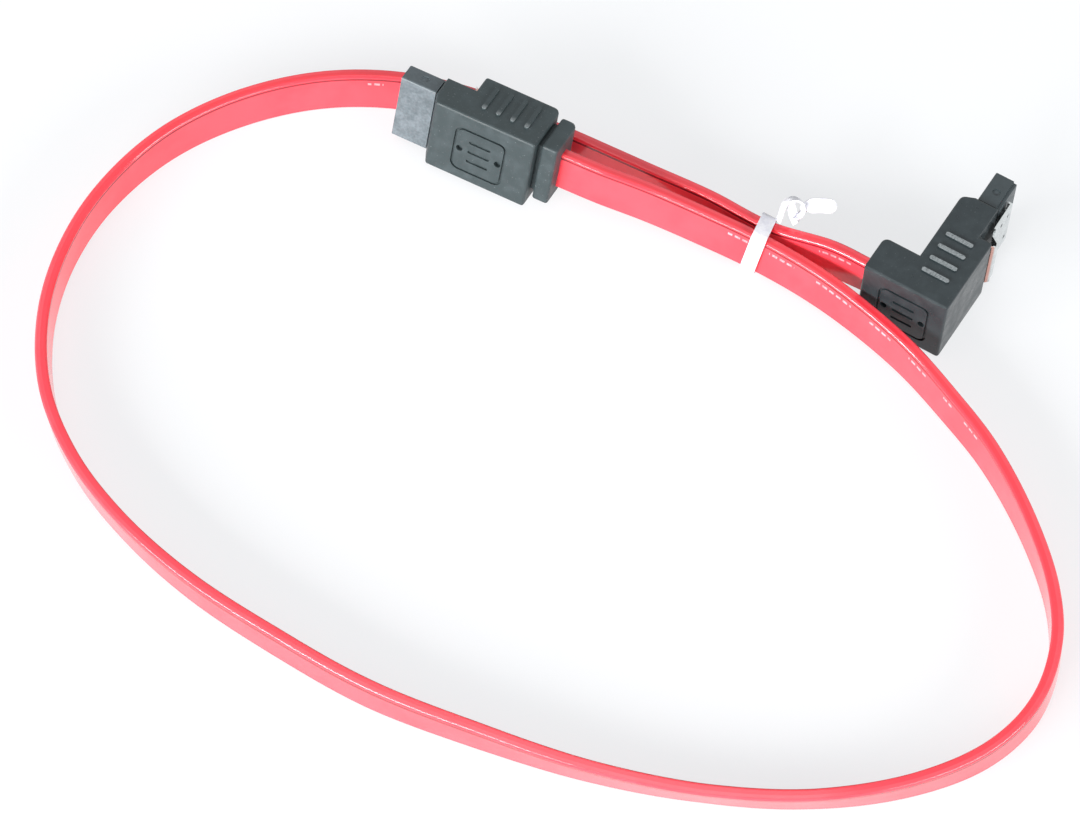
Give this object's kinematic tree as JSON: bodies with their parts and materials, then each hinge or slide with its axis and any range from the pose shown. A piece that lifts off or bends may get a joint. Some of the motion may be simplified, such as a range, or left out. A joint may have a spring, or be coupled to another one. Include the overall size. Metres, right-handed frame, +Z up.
{
  "type": "serial data cable",
  "caption": "Flat red data cable with a straight and a right-angled latching receptacle, laid in one loop and held by a white twist tie.",
  "frame": {"origin": "on the table, under the middle of the box round the two plugs", "axes": "+X along the line from the straight plug's nose to the right-angled plug's nose, +Y away from the cable's loop, +Z up from the table"},
  "size_m": [0.1784, 0.1384, 0.0167],
  "materials": {
    "overmould": "satin soft moulding",
    "receptacle": "satin hard moulding",
    "latch": "bright stamped sheet",
    "contact": "gold plated",
    "drain_wire": "tinned copper",
    "signal_wire": "insulated wire",
    "ribbon": "smooth flexible jacket with a soft shine",
    "tie": "glossy film"
  },
  "bodies": {
    "cable": {"straight_overmould": "overmould", "straight_receptacle": "receptacle", "straight_contact_1": "contact", "straight_contact_2": "contact", "straight_contact_3": "contact", "straight_contact_4": "contact", "straight_contact_5": "contact", "straight_contact_6": "contact", "straight_contact_7": "contact", "straight_drain_wire_1": "drain_wire", "straight_drain_wire_2": "drain_wire", "straight_drain_wire_3": "drain_wire", "straight_signal_wire_1": "signal_wire", "straight_signal_wire_2": "signal_wire", "straight_signal_wire_3": "signal_wire", "straight_signal_wire_4": "signal_wire", "angled_overmould": "overmould", "angled_receptacle": "receptacle", "angled_contact_1": "contact", "angled_contact_2": "contact", "angled_contact_3": "contact", "angled_contact_4": "contact", "angled_contact_5": "contact", "angled_contact_6": "contact", "angled_contact_7": "contact", "angled_drain_wire_1": "drain_wire", "angled_drain_wire_2": "drain_wire", "angled_drain_wire_3": "drain_wire", "angled_signal_wire_1": "signal_wire", "angled_signal_wire_2": "signal_wire", "angled_signal_wire_3": "signal_wire", "angled_signal_wire_4": "signal_wire", "ribbon_cable": "ribbon", "twist_tie": "tie"},
    "straight_latch_leaf": {"straight_latch": "latch"},
    "angled_latch_leaf": {"angled_latch": "latch"}
  },
  "joints": [
    {"name": "straight_latch_press", "type": "hinge", "parent": "cable", "child": "straight_latch_leaf", "pos_m": [-0.04977, 0.01709, 0.00807], "axis": [-0.0715, -0.1824, -0.9806], "range_deg": [0, 4], "stiffness_Nm_per_rad": 0.4},
    {"name": "angled_latch_press", "type": "hinge", "parent": "cable", "child": "angled_latch_leaf", "pos_m": [0.05315, 0.00558, 0.0075], "axis": [0, 0, -1], "range_deg": [0, 4], "stiffness_Nm_per_rad": 0.4}
  ]
}
